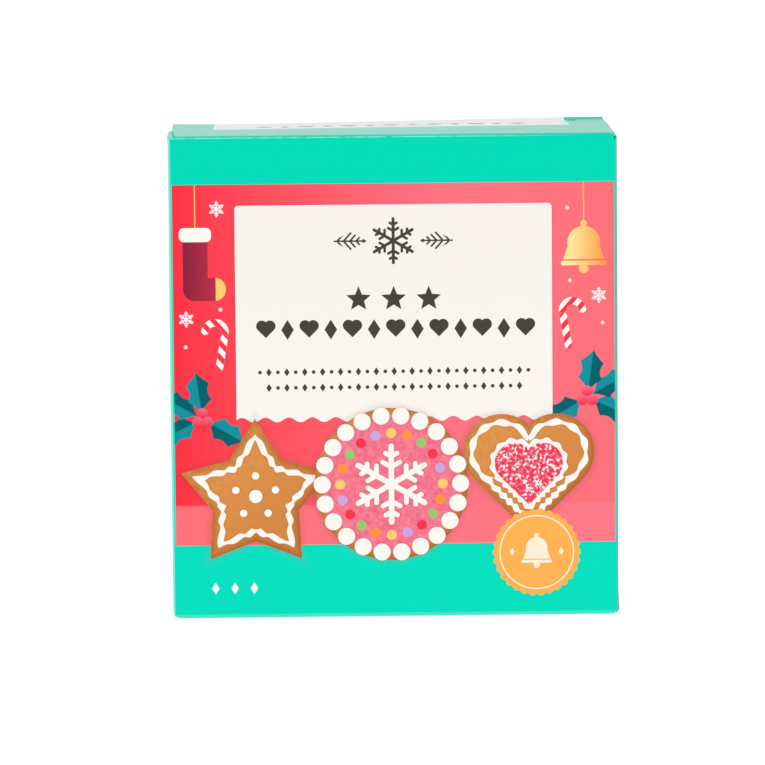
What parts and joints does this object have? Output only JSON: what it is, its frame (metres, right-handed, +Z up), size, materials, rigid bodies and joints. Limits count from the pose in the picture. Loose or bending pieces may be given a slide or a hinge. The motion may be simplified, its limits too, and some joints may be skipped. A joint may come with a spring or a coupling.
{
  "type": "folding carton for a gingerbread house kit",
  "caption": "Shut upright folding carton of printed paperboard with a tucked lid, a pack for a small gingerbread house kit.",
  "frame": {"origin": "on the floor, under the middle of the base", "axes": "+X to the right across the front panel, +Y from the front panel to the back panel, +Z up"},
  "size_m": [0.1212, 0.0606, 0.1307],
  "materials": {
    "printed_board": "paperboard printed in teal, red and cream, with a satin laminate"
  },
  "bodies": {
    "root": {"carton": "printed_board"}
  },
  "joints": []
}
